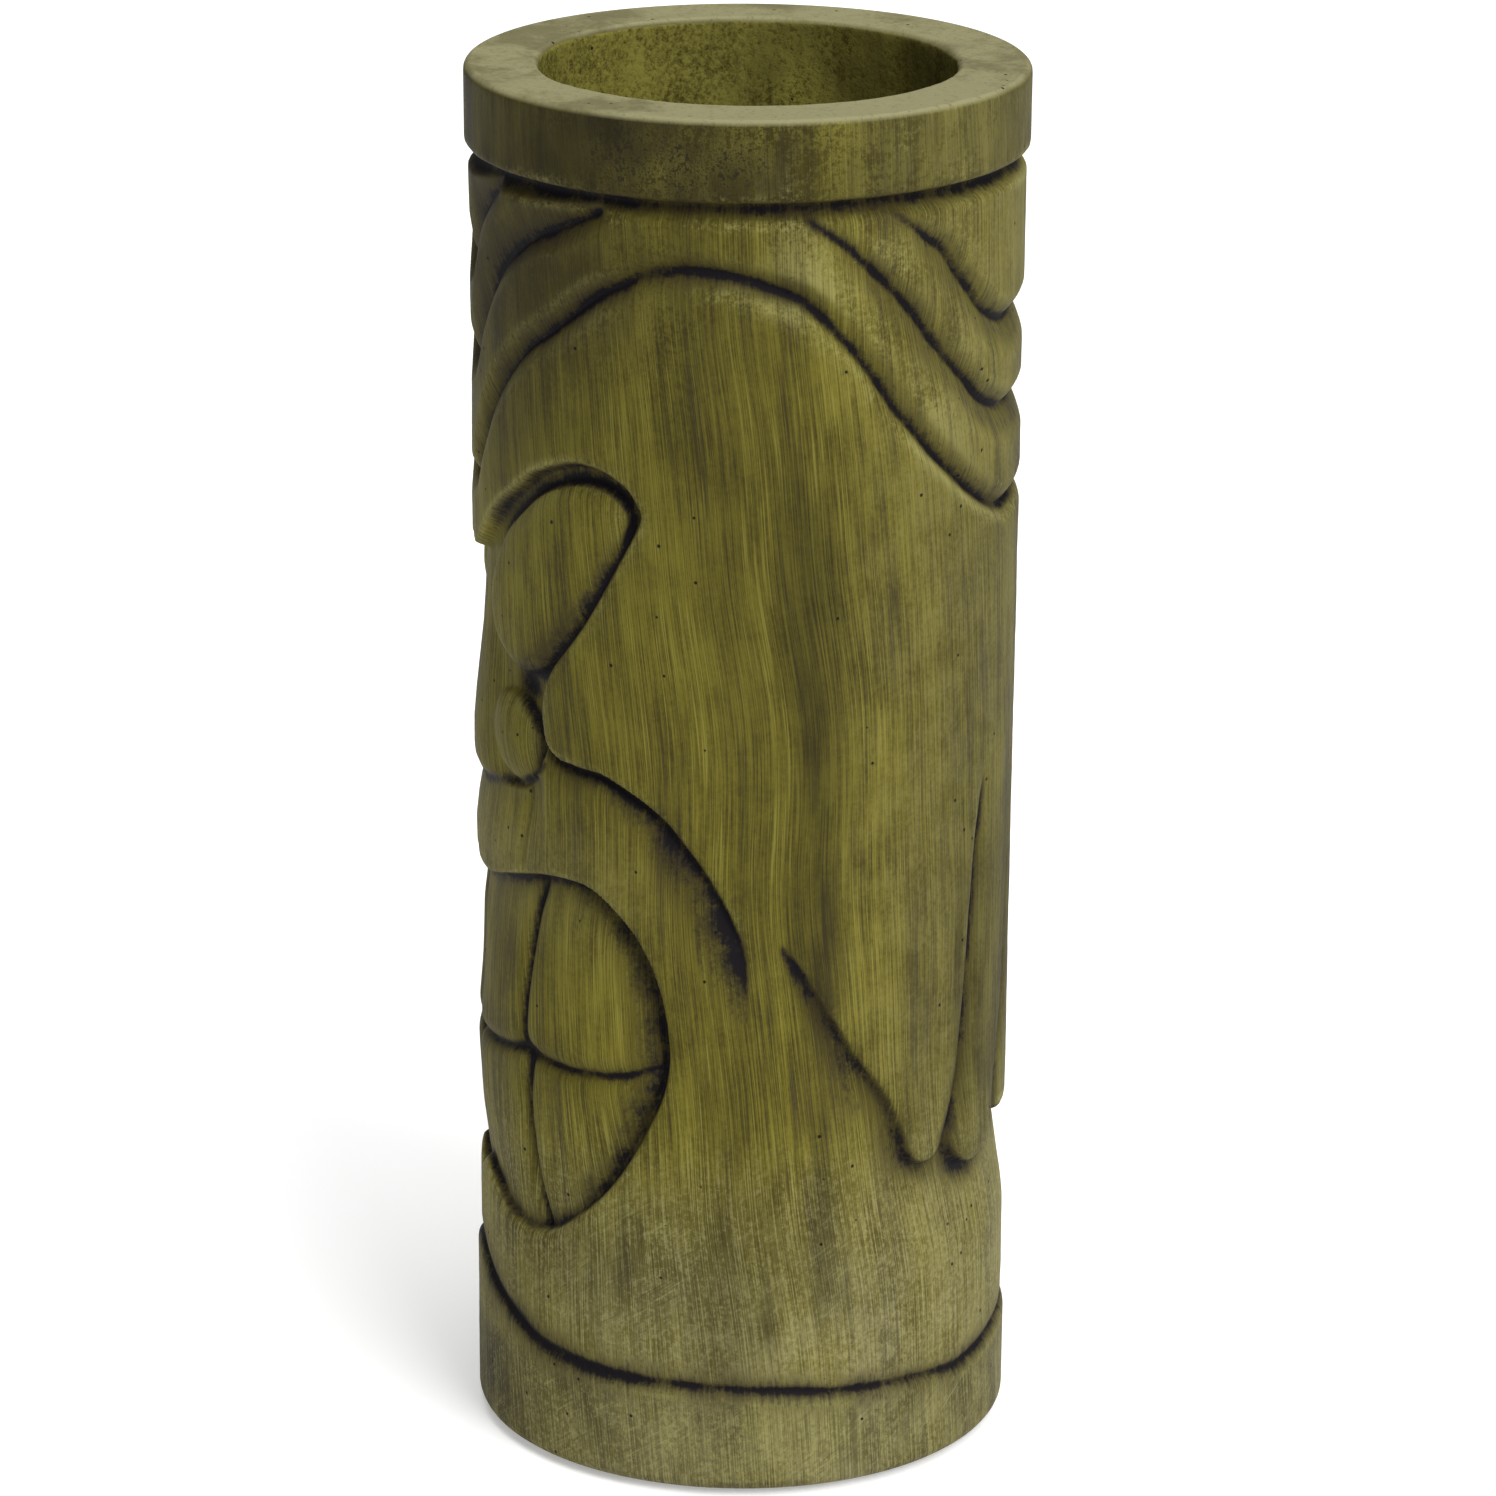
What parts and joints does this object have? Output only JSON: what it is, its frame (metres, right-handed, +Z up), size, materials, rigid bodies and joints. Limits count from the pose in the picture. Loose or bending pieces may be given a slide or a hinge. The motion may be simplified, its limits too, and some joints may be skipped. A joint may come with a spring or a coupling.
{
  "type": "carved face planter stand",
  "caption": "Tall open cylinder cast in painted cement with a carved grinning face, swagged hair and long locks; thick flat rim, deep bore, bunged drain hole and felt pads.",
  "frame": {"origin": "on the ground plane, under the axis of the cylinder", "axes": "+Z up along the cylinder's axis, the carved face looks towards -Y, +X is to its left cheek"},
  "size_m": [0.2206, 0.2206, 0.56],
  "materials": {
    "painted_cement": "olive paint brushed over cast cement, dark wash in the carving, dry satin sheen",
    "bung_rubber": "moulded black rubber, slightly dusty",
    "pad_felt": "pressed dark brown felt"
  },
  "bodies": {
    "stand": {"cast_body": "painted_cement", "foot_pad_1": "pad_felt", "foot_pad_2": "pad_felt", "foot_pad_3": "pad_felt", "foot_pad_4": "pad_felt"},
    "bung": {"drain_bung": "bung_rubber"}
  },
  "joints": [
    {"name": "bung_pull", "type": "slide", "parent": "stand", "child": "bung", "axis": [0, 0, 1], "range_m": [0, 0.03]}
  ]
}
